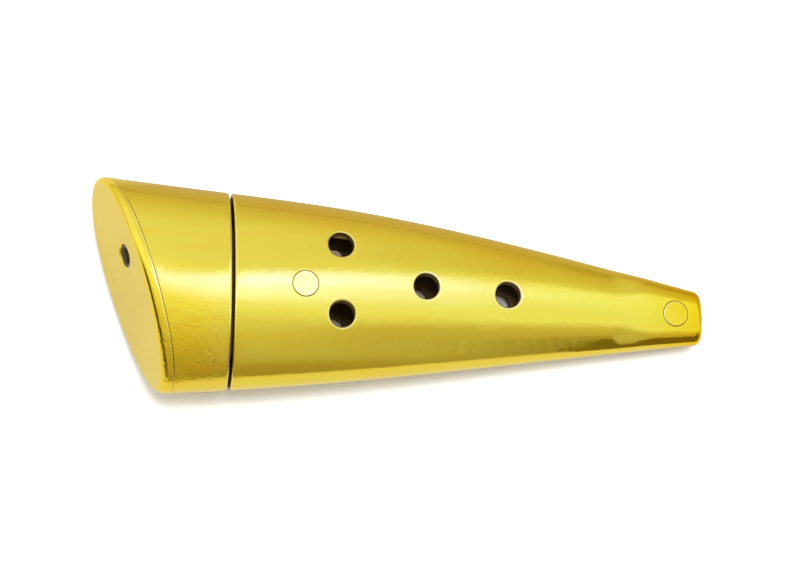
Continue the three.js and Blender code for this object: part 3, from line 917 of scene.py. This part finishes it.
# Light of the room by the angle from overhead towards the back, in degrees, in four directions: over the
# nose, the head, the middle and the tail
ROOM_AT_NOSE = (
    (-90, (0.36, 0.28, 0.12)), (-78, (0.37, 0.29, 0.12)), (-71, (0.49, 0.4, 0.18)),
    (-48, (0.51, 0.44, 0.18)), (-33, (0.66, 0.58, 0.26)), (-20, (0.8, 0.75, 0.4)),
    (-10, (0.93, 0.94, 0.66)), (-2, (1.04, 1.08, 0.85)), (12, (1.02, 1.06, 1.1)),
    (22, (0.92, 0.96, 1.1)), (45, (0.91, 0.93, 1.1)), (60, (0.8, 0.78, 0.62)),
    (75, (0.76, 0.72, 0.48)), (90, (0.66, 0.56, 0.35)))
ROOM_AT_HEAD = (
    (-90, (0.4, 0.33, 0.18)), (-68, (0.43, 0.37, 0.22)), (-58, (0.54, 0.51, 0.42)),
    (-44, (0.64, 0.62, 0.58)), (-30, (0.71, 0.67, 0.5)), (-16, (0.82, 0.83, 0.84)),
    (-9, (0.93, 1.0, 1.1)), (0, (1.03, 1.12, 1.2)), (15, (1.0, 1.1, 1.2)),
    (24, (0.89, 0.95, 1.1)), (50, (0.89, 0.91, 1.04)), (62, (0.83, 0.82, 0.76)),
    (71, (0.74, 0.68, 0.5)), (90, (0.66, 0.56, 0.34)))
ROOM_AT_MIDDLE = (
    (-90, (0.45, 0.39, 0.26)), (-74, (0.5, 0.45, 0.32)), (-60, (0.57, 0.54, 0.46)),
    (-32, (0.58, 0.56, 0.52)), (-22, (0.64, 0.62, 0.55)), (-18, (0.78, 0.8, 0.9)),
    (-10, (0.94, 1.06, 1.2)), (4, (0.96, 1.06, 1.2)), (24, (0.98, 1.08, 1.2)),
    (32, (0.84, 0.89, 0.95)), (40, (0.77, 0.78, 0.75)), (58, (0.76, 0.73, 0.58)),
    (71, (0.74, 0.67, 0.42)), (90, (0.61, 0.5, 0.26)))
ROOM_AT_TAIL = (
    (-90, (0.15, 0.11, 0.03)), (-60, (0.25, 0.19, 0.07)), (-52, (0.36, 0.3, 0.15)),
    (-43, (0.4, 0.34, 0.16)), (-39, (0.56, 0.5, 0.29)), (-24, (0.69, 0.67, 0.52)),
    (-18, (0.82, 0.9, 0.98)), (-13, (0.96, 1.09, 1.3)), (2, (0.93, 1.04, 1.1)),
    (21, (1.0, 1.15, 1.3)), (31, (1.02, 1.15, 1.3)), (38, (0.78, 0.78, 0.6)),
    (50, (0.72, 0.66, 0.38)), (62, (0.69, 0.6, 0.32)), (72, (0.57, 0.46, 0.2)),
    (90, (0.5, 0.38, 0.12)))
# Directions along the lure between which each gives way to the next
ROOM_CHANGES = ((0.08, 0.24), (0.26, 0.35), (0.375, 0.44))
# Extra light of a long softbox by the same angle over its width there, and its share along the lure
SOFTBOX = (
    (-10, 0), (-4, 0.06), (0, 0.18), (3, 0.38), (8, 0.54), (12.5, 0.95),
    (16, 1), (19, 0.65), (21.5, 0.28), (23.5, 0.04), (25, 0))
SOFTBOX_SPAN = (
    (-0.5, 0), (-0.3, 0.45), (0.05, 0.58), (0.14, 0.74), (0.236, 0.78), (0.256, 1),
    (0.34, 0.63), (0.39, 0.46), (0.43, 0.12), (0.455, 0.05), (0.48, 0))
SOFTBOX_LIGHT = (0.5, 0.78, 8.4)
# Half of the softbox's width, as a share, by direction along the lure
SOFTBOX_WIDTH = (
    (-0.1, 0.15), (0, 0.26), (0.05, 0.33), (0.14, 0.375), (0.236, 0.4), (0.256, 0.47),
    (0.34, 0.585), (0.44, 0.7))
ROOM_PLAIN = (0.9, 0.87, 0.82)  # what every ray but a mirrored one sees
NOSE_LIFT = ((-0.3, 1.0), (-0.55, 1.12))  # gain of the room's light at two directions ahead of the nose
# A dark card ahead of the nose: each pair rises from none of it to all of it along that axis
CARD_EDGES = (("X", (-0.55, -0.68)), ("Y", (-0.05, -0.12)), ("Z", (0.4, 0.3)))
CARD_LIGHT = 0.15
# A dark flag beside the tail's belly side that only mirrored rays see, its glow a painted dark reflection:
# corners in X and Z
FLAG = ((43 * MM, 0.0), (160 * MM, 0.0), (160 * MM, 124 * MM), (56 * MM, 50 * MM), (43 * MM, 18 * MM))
FLAG_SIDE = -60 * MM
FLAG_REFLECTION_GLOW = (0.2, 0.15, 0.05)
# Painted shade on the floor that only mirrored rays see: share of its light kept, by distance towards the
# back, and in front of the face
BACK_FLOOR_PAINTED_SHADE = ((-0.01, (0.485, 0.475, 0.42)), (0.004, (0.44, 0.40, 0.29)), (0.014, (0.34, 0.28, 0.17)))
FACE_FLOOR_PAINTED_SHADE = (0.51, 0.485, 0.33)
FACE_SIDE = (-42 * MM, -29 * MM)


def ramp_node(tree, factor, stops, low, high):
    """A ramp whose stops, colours or greys, are given over the range low to high of the factor."""
    ramp = node(tree, "ShaderNodeValToRGB", [("Fac", span(tree, factor, low, high))])
    elements = ramp.color_ramp.elements
    while len(elements) < len(stops):
        elements.new(1.0)
    for element, (place, colour) in zip(elements, stops):
        element.position = (place - low) / (high - low)
        element.color = (*np.broadcast_to(colour, 3), 1)
    return ramp.outputs[0]


def vector_calc(tree, operation, *inputs):
    """Result of a Vector Math node on vectors or sockets."""
    return node(tree, "ShaderNodeVectorMath", enumerate(inputs), operation=operation).outputs[0]


def scaled(tree, vector, factor):
    """A vector times a number, both from sockets."""
    return node(
        tree, "ShaderNodeVectorMath", [(0, vector), ("Scale", factor)], operation="SCALE").outputs[0]


class LURE_OT_stage(Operator):
    """Pale floor, soft lights, surroundings for the plating to mirror, and the camera"""
    bl_idname = "lure.stage"
    bl_label = "Stage"

    def execute(self, context):
        self.floor(context)
        self.flag(context)
        self.surroundings(context)
        self.lamp(context)
        self.camera(context)
        context.scene.view_settings.view_transform = "Standard"
        return {"FINISHED"}

    def floor(self, context):
        """A flat card with painted shade that only mirrored rays see: dimmer by distance to the back and
        ahead of the face.
        """
        mesh = bpy.data.meshes.new("floor")
        corners = [(x * FLOOR_REACH, y * FLOOR_REACH, 0) for x, y in ((-1, -1), (1, -1), (1, 1), (-1, 1))]
        mesh.from_pydata(corners, [], [(0, 1, 2, 3)])
        material, tree, shader = new_material("floor_card")
        grain = grouped(tree, "moulded_grain", grain_group, Scale=FLOOR_GRAIN)
        pale = context.scene.lure_colours.floor
        plain = mix(tree, grain["Tone"], pale, [c + FLOOR_SHADE for c in pale])
        place = split(tree, object_place(tree))
        # Painted shade: mirrored rays see the floor's colour times these shares
        behind = ramp_node(tree, place["Y"], BACK_FLOOR_PAINTED_SHADE, -0.1, 0.1)
        share = mix(tree, span(tree, place["X"], *FACE_SIDE), FACE_FLOOR_PAINTED_SHADE, behind)
        mirrored = node(tree, "ShaderNodeLightPath").outputs["Is Glossy Ray"]
        tree.links.new(mix(tree, mirrored, plain, share, "MULTIPLY"), shader["Base Color"])
        shader["Roughness"].default_value = 0.8
        shader["Specular IOR Level"].default_value = 0.2
        mesh.materials.append(material)
        floor = bpy.data.objects.new("floor", mesh)
        context.scene.collection.objects.link(floor)

    def flag(self, context):
        """A dark flag beside the tail, seen in the plating and by nothing else: its glow is a painted dark
        reflection.
        """
        mesh = bpy.data.meshes.new("flag")
        mesh.from_pydata([(x, FLAG_SIDE, z) for x, z in FLAG], [], [tuple(range(len(FLAG)))])
        material, tree, shader = new_material("flag_painted_reflection")
        shader["Base Color"].default_value = (0, 0, 0, 1)
        shader["Specular IOR Level"].default_value = 0.0
        # The glow paints a dark brown reflection on the tail's belly side
        shader["Emission Color"].default_value = (*FLAG_REFLECTION_GLOW, 1)
        shader["Emission Strength"].default_value = 1.0
        mesh.materials.append(material)
        flag = bpy.data.objects.new("flag", mesh)
        flag.visible_camera = False
        flag.visible_diffuse = False
        flag.visible_shadow = False
        context.scene.collection.objects.link(flag)

    def surroundings(self, context):
        """A soft room, brighter overhead and to the back, and dim towards the horizon on the belly side."""
        world = bpy.data.worlds.new("soft_room")
        context.scene.world = world
        world.use_nodes = True
        tree = world.node_tree
        parts = split(tree, node(tree, "ShaderNodeTexCoord").outputs["Generated"])
        degrees = calc(tree, "DEGREES", calc(tree, "ARCTAN2", parts["Y"], parts["Z"]))
        room = ramp_node(tree, degrees, ROOM_AT_NOSE, -90, 90)
        for stops, change in zip((ROOM_AT_HEAD, ROOM_AT_MIDDLE, ROOM_AT_TAIL), ROOM_CHANGES):
            further = ramp_node(tree, degrees, stops, -90, 90)
            room = mix(tree, span(tree, parts["X"], *change), room, further)
        width = ramp_node(tree, parts["X"], SOFTBOX_WIDTH, -1, 1)
        over = calc(tree, "DIVIDE", calc(tree, "MULTIPLY", degrees, 0.5), width)
        strip = ramp_node(tree, over, SOFTBOX, -90, 90)
        both = vector_calc(tree, "MULTIPLY", strip, ramp_node(tree, parts["X"], SOFTBOX_SPAN, -1, 1))
        mirrored = node(tree, "ShaderNodeLightPath").outputs["Is Glossy Ray"]
        softbox = scaled(tree, vector_calc(tree, "MULTIPLY", both, SOFTBOX_LIGHT), mirrored)
        total = vector_calc(tree, "ADD", self.past_nose(tree, parts, room), softbox)
        background = tree.nodes["Background"].inputs
        tree.links.new(mix(tree, mirrored, ROOM_PLAIN, total), background["Color"])
        background["Strength"].default_value = 1.0

    def past_nose(self, tree, parts, room):
        """The room ahead of the nose: a little brighter, but for a dark card low on the belly side."""
        (first, low), (last, high) = NOSE_LIFT
        lift = span(tree, parts["X"], first, last, low, high)
        (axis, edges), *others = CARD_EDGES
        card = span(tree, parts[axis], *edges)
        for axis, edges in others:
            card = calc(tree, "MULTIPLY", span(tree, parts[axis], *edges), card)
        share = span(tree, card, low=1.0, high=CARD_LIGHT)
        return scaled(tree, room, calc(tree, "MULTIPLY", lift, share))

    def lamp(self, context):
        """A soft rectangle at a distance in a direction from the lure, facing it."""
        light = bpy.data.lights.new("key_softbox", "AREA")
        light.shape = "RECTANGLE"
        light.size, light.size_y = LAMP_SIZE
        light.energy = LAMP_POWER
        lamp = bpy.data.objects.new("key_softbox", light)
        direction = Vector(LAMP_TOWARD).normalized()
        lamp.location = direction * LAMP_DISTANCE
        lamp.rotation_euler = direction.to_track_quat("Z", "Y").to_euler()
        lamp.visible_glossy = False
        context.scene.collection.objects.link(lamp)

    def camera(self, context):
        """A long lens at its place in the lure's frame, turned by its right and up directions."""
        turn = TURN @ np.array([CAMERA_RIGHT, CAMERA_UP, np.cross(CAMERA_RIGHT, CAMERA_UP)]).T
        place = to_row(CAMERA_PLACE)
        data = bpy.data.cameras.new("camera")
        data.sensor_width = CAMERA_SENSOR
        data.lens = CAMERA_LENS
        data.clip_start = 0.01
        camera = bpy.data.objects.new("camera", data)
        facing = Matrix(turn.tolist()).to_quaternion().to_matrix().to_4x4()
        camera.matrix_world = Matrix.Translation(place) @ facing
        context.scene.collection.objects.link(camera)
        context.scene.camera = camera


class LURE_PT_panel(Panel):
    """Lists the lure's sizes, colours and makers"""
    bl_label = "Bait-holding lure"
    bl_idname = "LURE_PT_panel"
    bl_space_type = "VIEW_3D"
    bl_region_type = "UI"
    bl_category = "Lure"

    def draw(self, context):
        for group in (context.scene.lure_sizes, context.scene.lure_colours):
            box = self.layout.box()
            for name in group.__annotations__:
                box.prop(group, name)
        for operator in MAKERS:
            self.layout.operator(operator.bl_idname)


MAKERS = (
    LURE_OT_rear_shell, LURE_OT_head, LURE_OT_coupling, LURE_OT_pins, LURE_OT_tail_insert, LURE_OT_stage)
CLASSES = (LureSizes, LureColours, *MAKERS, LURE_PT_panel)


def register():
    """Registers the classes and puts the sizes and colours on the scene."""
    for item in CLASSES:
        bpy.utils.register_class(item)
    bpy.types.Scene.lure_sizes = PointerProperty(type=LureSizes)
    bpy.types.Scene.lure_colours = PointerProperty(type=LureColours)


def unregister():
    """Takes back what register did."""
    del bpy.types.Scene.lure_colours
    del bpy.types.Scene.lure_sizes
    for item in reversed(CLASSES):
        bpy.utils.unregister_class(item)


def main():
    """Makes every piece and the stage."""
    register()
    for maker in MAKERS:
        group, name = maker.bl_idname.split(".")
        getattr(getattr(bpy.ops, group), name)()


if __name__ == "__main__":
    main()
